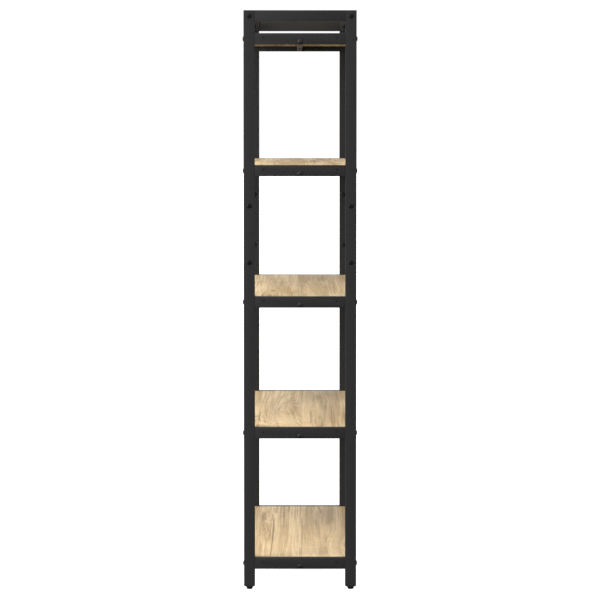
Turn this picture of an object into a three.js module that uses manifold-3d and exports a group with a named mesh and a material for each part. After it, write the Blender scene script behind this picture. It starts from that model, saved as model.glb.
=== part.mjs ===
// Open bookcase: a black square-tube frame in two bolted-up side frames, five lengthwise
// support bars, five loose oak shelf boards, two top ties and four levelling feet.
// Millimetres, +Z up, +X along the shelves, front at -Y, origin on the floor under the centre.

import * as THREE from "three";
import { mergeVertices } from "three/addons/utils/BufferGeometryUtils.js";
import Module from "manifold-3d";

const wasm = await Module();
wasm.setup();

// Overall sizes
const LENGTH = 1200;
const DEPTH = 305;
const LEVELS = 5;
const PITCH = 355.5;
const GUARD_GAP = 31.5;

// Frame tube
const TUBE = 30;
const TUBE_WALL = 1.5;
const TUBE_CORNER = 2;
const CLOSING_PLATE = 3;

// Foot and leg
const FOOT_HEIGHT = 8.5;
const FOOT_TOP_RADIUS = 9.5;
const FOOT_BASE_RADIUS = 6.5;
const FOOT_RIM = 2;
const STEM_RADIUS = 4;
const STEM_LENGTH = 22;
const LEG = 48;

// Shelf board
const BOARD_THICKNESS = 15;
const BOARD_END_CLEARANCE = 1;
const BOARD_INSET = 3;
const BOARD_EDGE = 0.8;

// Support bar, as tall as the rail leaves under the board
const BAR = TUBE - BOARD_THICKNESS;
const BAR_WALL = 1.2;
const BAR_CORNER = 1.2;
const BAR_PLUG = 10;
const BAR_HOLE_RADIUS = 2.5;

// Shelf tab and the access hole in front of its screw
const TAB_WIDTH = 20;
const TAB_REACH = 14;
const TAB_THICKNESS = 2;
const TAB_FROM_POST = 23.5;
const TAB_HOLE_RADIUS = 2.5;
const TAB_HOLE_DROP = 11.6;

// Post splice
const SPLICE_LEVEL = 3;
const SPLICE_RISE = 6.5;
const SPLICE_BOLT_SPACING = 153;
const SLEEVE_LENGTH = 200;
const SLEEVE_WALL = 2;

// Top tie
const TIE_DEPTH = 10;
const TIE_WALL = 1.2;
const TIE_CORNER = 1;

// Bolt
const HEAD_RADIUS = 6.65;
const HEAD_HEIGHT = 2.6;
const HEAD_RIM = 0.45;
const HEAD_CROWN = 0.6;
const SHANK_RADIUS = 4;
const SHANK_CLEARANCE = 0.3;
const THREAD_REACH = 9;

// Fits and facets
const GAP = 0.3;
const ROUND_SEGMENTS = 12;
const HOLE_SEGMENTS = 12;
const CORNER_SEGMENTS = 2;
const WELD = 0.0001;
const CUT_MARGIN = 5;

// Dependent sizes
const HALF_LENGTH = LENGTH / 2;
const HALF_DEPTH = DEPTH / 2;
const HALF_TUBE = TUBE / 2;
const POST_X = HALF_LENGTH - HALF_TUBE;
const POST_Y = HALF_DEPTH - HALF_TUBE;
const INNER_X = HALF_LENGTH - TUBE;
const RAIL_LENGTH = DEPTH - 2 * TUBE - 2 * GAP;
const HOLE_RADIUS = SHANK_RADIUS + SHANK_CLEARANCE;
const TAB_FROM_CENTRE = HALF_DEPTH - TUBE - TAB_FROM_POST;
const TOP_RAIL_TOP = railTop(LEVELS) + GUARD_GAP + TUBE;
const TOP_RAIL_CENTRE = TOP_RAIL_TOP - HALF_TUBE;
const SLEEVE_WIDTH = TUBE - 2 * TUBE_WALL - 2 * GAP;
const SPLICE_HEIGHT = (railTop(SPLICE_LEVEL) + railTop(SPLICE_LEVEL + 1) - TUBE) / 2 + SPLICE_RISE;
const LOWER_SPLICE_BOLT = SPLICE_HEIGHT - SPLICE_BOLT_SPACING / 2;
const UPPER_SPLICE_BOLT = SPLICE_HEIGHT + SPLICE_BOLT_SPACING / 2;
const ALL_LEVELS = Array.from({ length: LEVELS }, (_, index) => index + 1);
const LOWER_LEVELS = ALL_LEVELS.filter((level) => level <= SPLICE_LEVEL);
const UPPER_LEVELS = ALL_LEVELS.filter((level) => level > SPLICE_LEVEL);

function railTop(level) {
  return FOOT_HEIGHT + LEG + TUBE + (level - 1) * PITCH;
}

function railCentre(level) {
  return railTop(level) - HALF_TUBE;
}

// Finishes
const BLACK_COAT = new THREE.MeshStandardMaterial({ color: 0x343434, roughness: 0.55, metalness: 0.1 });
const BOLT_BLACK = new THREE.MeshStandardMaterial({ color: 0x2a2a2a, roughness: 0.38, metalness: 0.4 });
const GREY_STEEL = new THREE.MeshStandardMaterial({ color: 0x6a6a68, roughness: 0.5, metalness: 0.6 });
const OAK = new THREE.MeshStandardMaterial({ color: 0xd7be99, roughness: 0.6, metalness: 0 });
const FOOT_PLASTIC = new THREE.MeshStandardMaterial({ color: 0x1c1c1c, roughness: 0.7, metalness: 0 });

// Solids
function toSolid(geometry) {
  geometry.deleteAttribute("normal");
  geometry.deleteAttribute("uv");
  const merged = mergeVertices(geometry, WELD);
  const source = merged.index.array;
  const kept = [];
  for (let corner = 0; corner < source.length; corner += 3) {
    const [a, b, c] = [source[corner], source[corner + 1], source[corner + 2]];
    if (a !== b && b !== c && c !== a) kept.push(a, b, c);
  }
  return new wasm.Manifold(new wasm.Mesh({
    numProp: 3,
    vertProperties: new Float32Array(merged.attributes.position.array),
    triVerts: new Uint32Array(kept),
  }));
}

function toNode(name, solid, material) {
  const result = solid.getMesh();
  const geometry = new THREE.BufferGeometry();
  geometry.setAttribute("position", new THREE.BufferAttribute(new Float32Array(result.vertProperties), 3));
  geometry.setIndex(new THREE.BufferAttribute(new Uint32Array(result.triVerts), 1));
  geometry.computeVertexNormals();
  const mesh = new THREE.Mesh(geometry, material);
  mesh.name = name;
  return mesh;
}

function join(solids) {
  return solids.reduce((whole, piece) => whole.add(piece));
}

function cut(solid, cutters) {
  return cutters.reduce((whole, cutter) => whole.subtract(cutter), solid);
}

function roundedOutline(width, height, corner, PathClass) {
  const outline = new PathClass();
  const x = width / 2 - corner;
  const y = height / 2 - corner;
  outline.absarc(x, y, corner, 0, Math.PI / 2, false);
  outline.absarc(-x, y, corner, Math.PI / 2, Math.PI, false);
  outline.absarc(-x, -y, corner, Math.PI, 1.5 * Math.PI, false);
  outline.absarc(x, -y, corner, 1.5 * Math.PI, 2 * Math.PI, false);
  outline.closePath();
  return outline;
}

// A length of tube or bar standing on z = 0; a wall of 0 makes it solid.
function profileLength(width, height, corner, wall, length) {
  const shape = roundedOutline(width, height, corner, THREE.Shape);
  if (wall > 0) {
    const inner = Math.max(corner - wall, corner / 2);
    shape.holes.push(roundedOutline(width - 2 * wall, height - 2 * wall, inner, THREE.Path));
  }
  return new THREE.ExtrudeGeometry(shape, {
    depth: length,
    bevelEnabled: false,
    curveSegments: CORNER_SEGMENTS,
  });
}

function box(sizeX, sizeY, sizeZ, x, y, z) {
  return toSolid(new THREE.BoxGeometry(sizeX, sizeY, sizeZ).translate(x, y, z));
}

function rodAlongX(radius, length, x, y, z) {
  const rod = new THREE.CylinderGeometry(radius, radius, length, HOLE_SEGMENTS);
  return toSolid(rod.rotateZ(Math.PI / 2).translate(x, y, z));
}

function rodAlongY(radius, length, x, y, z) {
  return toSolid(new THREE.CylinderGeometry(radius, radius, length, HOLE_SEGMENTS).translate(x, y, z));
}

function rodAlongZ(radius, length, x, y, z) {
  const rod = new THREE.CylinderGeometry(radius, radius, length, HOLE_SEGMENTS);
  return toSolid(rod.rotateX(Math.PI / 2).translate(x, y, z));
}

// A domed bolt along +Y with the underside of its head at y = 0.
function boltGeometry(shankLength) {
  const profile = [
    new THREE.Vector2(0, -shankLength),
    new THREE.Vector2(SHANK_RADIUS, -shankLength),
    new THREE.Vector2(SHANK_RADIUS, 0),
    new THREE.Vector2(HEAD_RADIUS, 0),
    new THREE.Vector2(HEAD_RADIUS, HEAD_HEIGHT * HEAD_RIM),
    new THREE.Vector2(HEAD_RADIUS * HEAD_CROWN, HEAD_HEIGHT),
    new THREE.Vector2(0, HEAD_HEIGHT),
  ];
  return new THREE.LatheGeometry(profile, ROUND_SEGMENTS);
}

// A bolt pointing out of the face whose outward side is +1 or -1 on X or on Y.
function boltAlongY(side, shankLength, x, y, z) {
  const bolt = boltGeometry(shankLength);
  if (side < 0) bolt.rotateX(Math.PI);
  return toSolid(bolt.translate(x, y, z));
}

function boltAlongX(side, shankLength, x, y, z) {
  return toSolid(boltGeometry(shankLength).rotateZ(-side * Math.PI / 2).translate(x, y, z));
}

// Posts: open square tube, plated where it meets its foot and at its top.
function postHoles(x, y, levels, boltHeights) {
  const across = TUBE + CUT_MARGIN;
  return [
    ...levels.map((level) => rodAlongY(HOLE_RADIUS, across, x, y, railCentre(level))),
    ...boltHeights.map((height) => rodAlongX(HOLE_RADIUS, across, x, y, height)),
  ];
}

function postTube(x, y, from, to) {
  return toSolid(profileLength(TUBE, TUBE, TUBE_CORNER, TUBE_WALL, to - from).translate(x, y, from));
}

function closingPlate(x, y, from, thickness) {
  return toSolid(profileLength(TUBE, TUBE, TUBE_CORNER, 0, thickness).translate(x, y, from));
}

function lowerPost(name, x, y) {
  const tube = postTube(x, y, FOOT_HEIGHT, SPLICE_HEIGHT - GAP / 2);
  const plate = closingPlate(x, y, FOOT_HEIGHT, CLOSING_PLATE);
  const holes = postHoles(x, y, LOWER_LEVELS, [LOWER_SPLICE_BOLT]);
  const stemHole = rodAlongZ(HOLE_RADIUS, 2 * CLOSING_PLATE + CUT_MARGIN, x, y, FOOT_HEIGHT);
  return toNode(name, cut(join([tube, plate]), [...holes, stemHole]), BLACK_COAT);
}

function upperPost(name, x, y) {
  const tube = postTube(x, y, SPLICE_HEIGHT + GAP / 2, TOP_RAIL_TOP);
  const plate = closingPlate(x, y, TOP_RAIL_TOP - TUBE_WALL, TUBE_WALL);
  const holes = postHoles(x, y, UPPER_LEVELS, [UPPER_SPLICE_BOLT, TOP_RAIL_CENTRE]);
  return toNode(name, cut(join([tube, plate]), holes), BLACK_COAT);
}

// Sleeve inside each post with its two through bolts, domed on both faces.
function sleeve(name, x, y) {
  const tube = profileLength(SLEEVE_WIDTH, SLEEVE_WIDTH, TUBE_CORNER, SLEEVE_WALL, SLEEVE_LENGTH);
  const body = toSolid(tube.translate(x, y, SPLICE_HEIGHT - SLEEVE_LENGTH / 2));
  const reach = HALF_TUBE + GAP;
  const bolts = [LOWER_SPLICE_BOLT, UPPER_SPLICE_BOLT].flatMap((height) => [
    boltAlongX(1, reach + 1, x + reach, y, height),
    boltAlongX(-1, reach + 1, x - reach, y, height),
  ]);
  return toNode(name, join([body, ...bolts]), BLACK_COAT);
}

// Side rails: square tube between the posts, plated at both ends for the end bolts.
function railTube(x, top) {
  const outer = profileLength(TUBE, TUBE, TUBE_CORNER, 0, RAIL_LENGTH);
  const core = TUBE - 2 * TUBE_WALL;
  const hollow = box(core, RAIL_LENGTH - 2 * CLOSING_PLATE, core, x, 0, top - HALF_TUBE);
  const rotated = outer.translate(0, 0, -RAIL_LENGTH / 2).rotateX(Math.PI / 2);
  return cut(toSolid(rotated.translate(x, 0, top - HALF_TUBE)), [hollow]);
}

function endBoltHoles(x, z) {
  const depth = 2 * CLOSING_PLATE + CUT_MARGIN;
  return [1, -1].map((side) => rodAlongY(HOLE_RADIUS, depth, x, side * RAIL_LENGTH / 2, z));
}

function shelfTab(side, y, top) {
  const inner = side * (INNER_X - TAB_REACH / 2 + TUBE_WALL / 2);
  const z = top - BOARD_THICKNESS - GAP - TAB_THICKNESS / 2;
  return box(TAB_REACH + TUBE_WALL, TAB_WIDTH, TAB_THICKNESS, inner, y, z);
}

function shelfRail(name, side, level) {
  const x = side * POST_X;
  const top = railTop(level);
  const tabs = [TAB_FROM_CENTRE, -TAB_FROM_CENTRE].map((y) => shelfTab(side, y, top));
  const barBolt = rodAlongX(HOLE_RADIUS, TUBE + CUT_MARGIN, x, 0, top - TUBE + BAR / 2);
  const accessHoles = [TAB_FROM_CENTRE, -TAB_FROM_CENTRE].map((y) =>
    rodAlongX(TAB_HOLE_RADIUS, TUBE_WALL + CUT_MARGIN, side * HALF_LENGTH, y, top - TAB_HOLE_DROP));
  const rail = join([railTube(x, top), ...tabs]);
  return toNode(name, cut(rail, [barBolt, ...accessHoles, ...endBoltHoles(x, railCentre(level))]), BLACK_COAT);
}

function guardRail(name, side) {
  const x = side * POST_X;
  return toNode(name, cut(railTube(x, TOP_RAIL_TOP), endBoltHoles(x, TOP_RAIL_CENTRE)), BLACK_COAT);
}

// End bolt of a side rail, through the post and into the rail's end plate.
function railBolt(name, side, face, level) {
  const head = face * (HALF_DEPTH + GAP);
  const bolt = boltAlongY(face, TUBE + 2 * GAP + THREAD_REACH, side * POST_X, head, railCentre(level));
  return toNode(name, bolt, BOLT_BLACK);
}

// Support bar: plugged square tube with a screw hole under its middle, and a bolt at each end that
// runs through the side rail.
function supportBar(name, level) {
  const bottom = railTop(level) - TUBE;
  const z = bottom + BAR / 2;
  const barLength = 2 * (INNER_X - GAP);
  const outer = profileLength(BAR, BAR - GAP, BAR_CORNER, 0, barLength).translate(0, 0, -barLength / 2);
  const core = BAR - 2 * BAR_WALL;
  const hollow = box(barLength - 2 * BAR_PLUG, core, core - GAP, 0, 0, z - GAP / 2);
  const body = toSolid(outer.rotateX(Math.PI / 2).rotateZ(Math.PI / 2).translate(0, 0, z - GAP / 2));
  const hole = rodAlongZ(BAR_HOLE_RADIUS, CUT_MARGIN, 0, 0, bottom);
  const bolts = [1, -1].map((side) =>
    boltAlongX(side, TUBE + 2 * GAP + THREAD_REACH, side * (HALF_LENGTH + GAP), 0, z));
  return toNode(name, join([cut(body, [hollow, hole]), ...bolts]), GREY_STEEL);
}

// Shelf board, loose on its bar and four tabs, with slightly eased edges.
function shelfBoard(name, level) {
  const boardLength = 2 * (INNER_X - BOARD_END_CLEARANCE);
  const boardDepth = DEPTH - 2 * BOARD_INSET;
  const shape = new THREE.Shape();
  const halfDepth = boardDepth / 2;
  const corners = [
    [-halfDepth + BOARD_EDGE, 0], [halfDepth - BOARD_EDGE, 0],
    [halfDepth, BOARD_EDGE], [halfDepth, BOARD_THICKNESS - BOARD_EDGE],
    [halfDepth - BOARD_EDGE, BOARD_THICKNESS], [-halfDepth + BOARD_EDGE, BOARD_THICKNESS],
    [-halfDepth, BOARD_THICKNESS - BOARD_EDGE], [-halfDepth, BOARD_EDGE],
  ];
  corners.forEach(([y, z], index) => (index ? shape.lineTo(y, z) : shape.moveTo(y, z)));
  const board = new THREE.ExtrudeGeometry(shape, { depth: boardLength, bevelEnabled: false });
  board.translate(0, 0, -boardLength / 2).rotateX(Math.PI / 2).rotateZ(Math.PI / 2);
  return toNode(name, toSolid(board.translate(0, 0, railTop(level) - BOARD_THICKNESS)), OAK);
}

// Top tie: flat tube flush with the outer face, with an end plate bolted to each post.
function topTie(name, face) {
  const tieLength = 2 * (INNER_X - GAP);
  const y = face * (HALF_DEPTH - TIE_DEPTH / 2);
  const outer = profileLength(TIE_DEPTH, TUBE, TIE_CORNER, 0, tieLength).translate(0, 0, -tieLength / 2);
  const body = toSolid(outer.rotateY(Math.PI / 2).rotateX(Math.PI / 2).translate(0, y, TOP_RAIL_CENTRE));
  const hollow = box(tieLength - 2 * CLOSING_PLATE, TIE_DEPTH - 2 * TIE_WALL, TUBE - 2 * TIE_WALL,
    0, y, TOP_RAIL_CENTRE);
  const drain = rodAlongZ(BAR_HOLE_RADIUS, CUT_MARGIN, 0, y, TOP_RAIL_TOP - TUBE);
  const plates = [1, -1].map((side) => {
    const plateX = side * (INNER_X - GAP - CLOSING_PLATE / 2);
    return box(CLOSING_PLATE, TUBE, TUBE, plateX, face * POST_Y, TOP_RAIL_CENTRE);
  });
  const bolts = [1, -1].flatMap((side) => {
    const nutFace = side * (INNER_X - GAP - CLOSING_PLATE);
    return [
      boltAlongX(side, TUBE + 2 * GAP + 1, side * (HALF_LENGTH + GAP), face * POST_Y, TOP_RAIL_CENTRE),
      boltAlongX(-side, 1, nutFace, face * POST_Y, TOP_RAIL_CENTRE),
    ];
  });
  return toNode(name, join([cut(body, [hollow, drain]), ...plates, ...bolts]), BLACK_COAT);
}

// Levelling foot: tapered plastic pad on a threaded stem in the post's closing plate.
function foot(name, x, y) {
  const padTop = FOOT_HEIGHT - GAP;
  const profile = [
    new THREE.Vector2(0, 0),
    new THREE.Vector2(FOOT_BASE_RADIUS, 0),
    new THREE.Vector2(FOOT_TOP_RADIUS, padTop - FOOT_RIM),
    new THREE.Vector2(FOOT_TOP_RADIUS, padTop),
    new THREE.Vector2(STEM_RADIUS, padTop),
    new THREE.Vector2(STEM_RADIUS, padTop + STEM_LENGTH),
    new THREE.Vector2(0, padTop + STEM_LENGTH),
  ];
  const pad = new THREE.LatheGeometry(profile, ROUND_SEGMENTS).rotateX(Math.PI / 2);
  return toNode(name, toSolid(pad.translate(x, y, 0)), FOOT_PLASTIC);
}

// Assembly
const bookcase = new THREE.Group();
bookcase.name = "bookcase";
const SIDES = [["left", -1], ["right", 1]];
const FACES = [["front", -1], ["rear", 1]];

for (const [sideName, side] of SIDES) {
  for (const [faceName, face] of FACES) {
    const corner = `${sideName}_${faceName}`;
    bookcase.add(lowerPost(`post_lower_${corner}`, side * POST_X, face * POST_Y));
    bookcase.add(upperPost(`post_upper_${corner}`, side * POST_X, face * POST_Y));
    bookcase.add(sleeve(`sleeve_${corner}`, side * POST_X, face * POST_Y));
    bookcase.add(foot(`foot_${corner}`, side * POST_X, face * POST_Y));
    for (const level of ALL_LEVELS) {
      bookcase.add(railBolt(`bolt_${level}_${corner}`, side, face, level));
    }
  }
  for (const level of ALL_LEVELS) bookcase.add(shelfRail(`side_rail_${level}_${sideName}`, side, level));
  bookcase.add(guardRail(`top_rail_${sideName}`, side));
}
for (const level of ALL_LEVELS) {
  bookcase.add(supportBar(`support_bar_${level}`, level));
  bookcase.add(shelfBoard(`shelf_board_${level}`, level));
}
for (const [faceName, face] of FACES) bookcase.add(topTie(`top_tie_${faceName}`, face));

export default bookcase;
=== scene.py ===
"""Open bookcase: black coated tube frame, loose oak boards on grey bars, domed bolts and feet."""
import math

import bmesh
import bpy
from bpy.props import FloatProperty, FloatVectorProperty, IntProperty, PointerProperty
from mathutils import Matrix, Vector


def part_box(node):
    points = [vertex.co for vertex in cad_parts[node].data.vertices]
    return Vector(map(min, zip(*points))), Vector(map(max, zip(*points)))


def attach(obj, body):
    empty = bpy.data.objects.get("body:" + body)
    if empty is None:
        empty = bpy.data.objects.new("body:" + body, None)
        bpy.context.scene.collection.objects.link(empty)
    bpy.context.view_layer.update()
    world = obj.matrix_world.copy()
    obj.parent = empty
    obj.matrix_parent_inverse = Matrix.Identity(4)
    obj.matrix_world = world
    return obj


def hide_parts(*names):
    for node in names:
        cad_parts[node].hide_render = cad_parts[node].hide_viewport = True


bl_info = {
    "name": "Open Bookcase",
    "version": (1, 0, 0),
    "blender": (4, 5, 0),
    "location": "View3D > Sidebar > Bookcase",
    "description": "Builds an open bookcase of coated square tube, oak boards, bars, bolts and feet",
    "category": "Add Mesh",
}

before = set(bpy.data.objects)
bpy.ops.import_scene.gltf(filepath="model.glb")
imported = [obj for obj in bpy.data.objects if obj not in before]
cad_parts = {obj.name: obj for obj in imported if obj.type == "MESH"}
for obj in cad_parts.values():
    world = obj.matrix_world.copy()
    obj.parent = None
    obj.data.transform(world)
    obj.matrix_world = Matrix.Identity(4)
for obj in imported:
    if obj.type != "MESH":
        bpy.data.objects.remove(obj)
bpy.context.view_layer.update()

LEVELS = (1, 2, 3, 4, 5)
SIDES = (("left", -1), ("right", 1))
FACES = (("front", -1), ("rear", 1))
CORNERS = tuple((f"{s}_{f}", face) for s, _ in SIDES for f, face in FACES)

# Mesh fineness and shading, in steps and degrees.
OUTLINE_STEPS = 5
HOLE_STEPS = 28
LATHE_STEPS = 48
THREAD_STEPS = 24
RIB_POINTS = 4
DOME_SEGMENTS = 40
DOME_RINGS = 20
HEX_SIDES = 6
SHARP_ANGLE = 32.0
BOLT_SHARP_ANGLE = 38.0
FOOT_SHARP_ANGLE = 40.0

# An eased end's middle ring as a share of the easing, and the share of a corner radius that easing
# leaves outside and inside a tube.
EASE_STEP = 0.3
LEAST_CORNER = 0.3
LEAST_INNER_CORNER = 0.4
# Below 1, a bolt's dome has a steeper rim and a flatter top than half a ball.
DOME_POWER = 0.8

# From the joint to a splice bolt, as a share of the sleeve's length.
SPLICE_SHARE = 0.3825
# A tie's depth as a share of its end plates'.
TIE_DEPTH_SHARE = 1 / 3
# A small screw's socket as shares of its head's width and height, and how many head heights a tab
# screw lies under the rail's face.
SMALL_SOCKET_WIDTH = 0.5
SMALL_SOCKET_DEPTH = 0.6
TAB_HEAD_SINK = 1.2

# A foot's pad from the floor up: share of its radius, share of its height, whether it is ribbed.
PAD_PROFILE = ((0.62, 0.0, False), (0.68, 0.03, False), (0.76, 0.14, False), (0.86, 0.34, False),
               (0.945, 0.54, False), (0.985, 0.68, True), (1.0, 0.74, True), (1.0, 0.93, True),
               (0.975, 0.985, False), (0.93, 1.0, False))
# One turn of the stem's thread: share of the stem's radius, share of the pitch.
THREAD_ROOT = 0.86
THREAD_TURN = ((1.0, 0.35), (1.0, 0.5), (THREAD_ROOT, 0.95))
STEM_TIP = 0.8

# Softboxes: name, place, target, size and the setting that holds the power.
SOFTBOXES = (("key_softbox", (2.2, -3.4, 1.7), (0, 0, 0.5), 2.4, "key"),
             ("top_softbox", (0.6, -0.6, 3.6), (0, 0, 0.8), 2.6, "top"),
             ("end_softbox", (5.0, -1.2, 2.4), (0, 0, 0.8), 2.4, "fill"))
# The floor's half width and squares a side, and how far the camera sees.
FLOOR_REACH = 60.0
FLOOR_SQUARES = 8
FLOOR_ROUGHNESS = 0.9
BACKDROP_STRENGTH = 1.02
CAMERA_REACH = 200.0
WHITE = (1.0, 1.0, 1.0, 1.0)

# Powder coat: drift of the tone in repeats a metre, depth of the specks, swing of the roughness, and
# the colour of settled dust.
DRIFT_SCALE = 9.0
SPECK_DEPTH = 0.12
ROUGHNESS_SWING = 0.10
DUST_COLOUR = (0.30, 0.29, 0.27, 1.0)

# Noise fields of the oak: repeats a metre along and across the board, start, detail, roughness.
OAK_FIELDS = {
    "bow": (0.8, 10.0, 1.0, 2.0, 0.5),
    "waver": (2.8, 46.0, 2.0, 2.0, 0.5),
    "breaks": (2.6, 60.0, 3.0, 3.0, 0.6),
    "clearings": (1.4, 14.0, 4.0, 2.0, 0.5),
    "bands": (0.7, 24.0, 5.0, 3.0, 0.55),
    "fibres": (2.8, 250.0, 6.0, 4.0, 0.65),
    "pores": (14.0, 620.0, 7.0, 2.0, 0.6),
    "weather": (1.7, 13.0, 8.0, 3.0, 0.55),
    "saw marks": (48.0, 20.0, 9.0, 3.0, 0.6),
    "sawn areas": (1.5, 9.0, 10.0, 2.0, 0.5),
}
# How far apart the planks lie in those fields, along the board and in depth.
PLANK_SHIFT = 19.0
PLANK_DEPTH = 23.0
# How far the year rings are moved sideways, in metres: by the plank's lean over a metre, by the
# grain's bow and waver, and by a knot.
LEAN = 0.025
BOW = 0.030
WAVER = 0.0050
KNOT_PULL = 0.03
# How strongly each layer of the oak shows, and how far from a board's top its figure reaches.
SAW_SHARE = 0.32
LINE_SHARE = 0.50
HEART_SHARE = 0.42
PORE_SHARE = 0.18
SEAM_SHARE = 0.35
SWIRL_SHARE = 16.0
BOARD_REACH = 0.05

# Figure of the oak decor: level, place along, place across, length, width, strength.
SWIRLS = ((2, 0.06, -0.055, 0.42, 0.050, 0.055), (1, -0.20, -0.104, 0.50, 0.024, 0.030),
          (1, 0.34, 0.122, 0.17, 0.030, 0.050),
          (3, -0.20, 0.060, 0.60, 0.045, 0.035), (4, 0.25, -0.060, 0.35, 0.040, 0.040),
          (5, -0.15, 0.070, 0.45, 0.050, 0.050))
KNOTS = ((1, -0.30, -0.106, 0.170, 0.0110, 1.0), (2, 0.27, -0.132, 0.055, 0.024, 0.9),
         (3, 0.30, -0.075, 0.070, 0.010, 1.0), (4, -0.35, 0.090, 0.080, 0.011, 1.0),
         (5, 0.35, -0.090, 0.060, 0.009, 1.0))
STREAKS = ((1, 0.22, -0.0790, 0.38, 0.0016, 0.75), (1, -0.05, 0.058, 0.25, 0.0014, 0.40),
           (2, 0.30, -0.1180, 0.16, 0.0020, 0.75), (2, 0.10, 0.090, 0.30, 0.0016, 0.45),
           (3, 0.10, 0.100, 0.30, 0.0016, 0.60), (4, 0.05, 0.040, 0.30, 0.0016, 0.60),
           (5, 0.00, -0.050, 0.35, 0.0018, 0.70))
# Grey patches: weathered decor in part, while the strong ones at the -X, +Y corners of boards 1 to 3
# are painted shade.
GREY_AND_SHADE_PATCHES = ((1, -0.40, 0.085, 0.30, 0.060, 0.90), (1, 0.10, 0.120, 0.30, 0.020, 0.45),
                (2, -0.45, 0.085, 0.22, 0.060, 0.95), (2, 0.10, 0.085, 0.35, 0.022, 0.55),
                (2, 0.10, -0.070, 0.25, 0.035, 0.40), (3, -0.40, 0.080, 0.20, 0.060, 0.70),
                (4, -0.05, -0.090, 0.30, 0.040, 0.45), (5, -0.35, -0.060, 0.25, 0.050, 0.50))
# Pale patches, all on the +X half of the boards: pale figure in part, and painted light on that half.
PALE_AND_LIT_PATCHES = ((1, 0.35, 0.050, 0.46, 0.060, 1.00), (1, 0.25, -0.050, 0.45, 0.022, 0.75),
                (2, 0.25, 0.035, 0.50, 0.034, 1.00), (2, 0.10, -0.130, 0.28, 0.018, 0.80),
                (2, 0.45, -0.040, 0.14, 0.050, 0.60), (3, 0.30, 0.040, 0.40, 0.060, 0.70),
                (3, 0.20, -0.090, 0.35, 0.030, 0.60), (4, 0.35, 0.020, 0.30, 0.090, 0.60),
                (5, 0.20, 0.050, 0.35, 0.050, 0.60))


# ---------------------------------------------------------------- sizes and colours

def length(name, text, value, low=0.0, high=3.0):
    return FloatProperty(name=name, description=text, default=value, min=low, max=high,
                         subtype="DISTANCE", unit="LENGTH", precision=5)


def colour(name, text, value):
    return FloatVectorProperty(name=name, description=text, default=value, min=0.0, max=1.0,
                               size=3, subtype="COLOR")


def number(name, text, value, low=0.0, high=10.0):
    return FloatProperty(name=name, description=text, default=value, min=low, max=high)


class TubeSizes(bpy.types.PropertyGroup):
    corner: length("Corner radius", "Outside corner radius of the square tube", 0.0013)
    wall: length("Wall", "Wall thickness of the square tube", 0.0015)
    end_ease: length("End easing", "Rounding of the sawn and coated tube ends", 0.0004)
    foot_end_ease: length("Leg end easing", "Rounding of the plugged lower end of a leg", 0.0011)
    cap: length("Cap", "Thickness of a post's top cap and of a tie's end plates", 0.003)
    gap: length("Gap", "Gap between a piece and the next one", 0.0003)
    rail_reach: length("Rail reach", "How far a rail's tube runs towards the post's face", 0.00024)
    rail_end_ease: length("Rail end easing", "Rounding of a rail's ends at the posts", 0.00012)
    tab_thickness: length("Tab thickness", "Thickness of the steel tabs", 0.002)
    tab_ease: length("Tab easing", "Rounding of the steel tabs' edges", 0.0003)
    tab_width: length("Tab width", "Width of the steel tabs under the board corners", 0.020)
    tab_corner: length("Tab corner radius", "Corner radius of the steel tabs", 0.003)
    access_radius: length("Access hole radius",
                          "Radius of the screw access holes in a side rail", 0.0025)
    access_depth: length("Access hole depth", "Depth to which an access hole is seen", 0.007)
    access_offset: length("Access hole offset",
                          "Distance of the access holes from the rail's middle", 0.099)
    access_drop: length("Access hole drop", "Depth of the access holes under the rail's top", 0.0116)
    coat: colour("Coat colour", "Colour of the black powder coat", (0.0245, 0.0245, 0.0246))
    roughness: number("Coat roughness", "Roughness of the powder coat", 0.6, 0.0, 1.0)


class BoltSizes(bpy.types.PropertyGroup):
    head_diameter: length("Head diameter", "Diameter of a frame bolt's domed head", 0.0133)
    head_height: length("Head height", "Height of a frame bolt's domed head", 0.0026)
    socket_size: length("Socket size", "Width across the corners of the hexagon socket", 0.0056)
    socket_depth: length("Socket depth", "Depth of the hexagon socket", 0.0017)
    post_socket_size: length("Post socket size",
                             "Socket width of the bolts on the posts' end faces", 0.0080)
    post_socket_depth: length("Post socket depth",
                              "Socket depth of the bolts on the posts' end faces", 0.0022)
    tab_head_diameter: length("Tab screw diameter", "Diameter of the small tab screws", 0.0047)
    tab_head_height: length("Tab screw height", "Height of the small tab screws", 0.0012)
    bar_head_diameter: length("Bar screw diameter",
                              "Diameter of the screw under a bar's middle", 0.0080)
    bar_head_height: length("Bar screw height", "Height of the screw under a bar's middle", 0.0028)
    seed: IntProperty(name="Turn seed", description="Seed of each head's turn", default=7, min=0)
    finish: colour("Bolt colour", "Colour of the black bolts", (0.006, 0.006, 0.0065))


class BoardSizes(bpy.types.PropertyGroup):
    ease: length("Edge easing", "Rounding of the banded board edges", 0.0008)
    plank_width: length("Plank width", "Width of one plank of the oak decor", 0.150)
    seam_offset: length("Seam offset", "Distance of the plank seam behind the board's middle", 0.004)
    seed: number("Plank seed", "Seed that picks the figure of every plank", 11.3, 0.0, 1000.0)
    ring_count: number("Ring count", "Year rings of the oak decor in a metre", 165.0, 20.0, 600.0)
    # This light tone also paints the light of the pale patches.
    light: colour("Light oak", "Light earlywood of the oak decor", (0.91, 0.715, 0.440))
    mid: colour("Mid oak", "Middle tone of the oak decor", (0.50, 0.348, 0.178))
    dark: colour("Dark oak", "Latewood lines and knots", (0.17, 0.105, 0.052))
    # This grey also paints the shade of the strong grey patches.
    grey: colour("Weathered oak", "Greyish patches of the oak decor", (0.335, 0.240, 0.148))


class BarSizes(bpy.types.PropertyGroup):
    corner: length("Corner radius", "Outside corner radius of the support bar", 0.0014)
    wall: length("Wall", "Wall thickness of the support bar", 0.0012)
    finish: colour("Bar colour", "Colour of the grey coated bars", (0.066, 0.070, 0.076))


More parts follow.
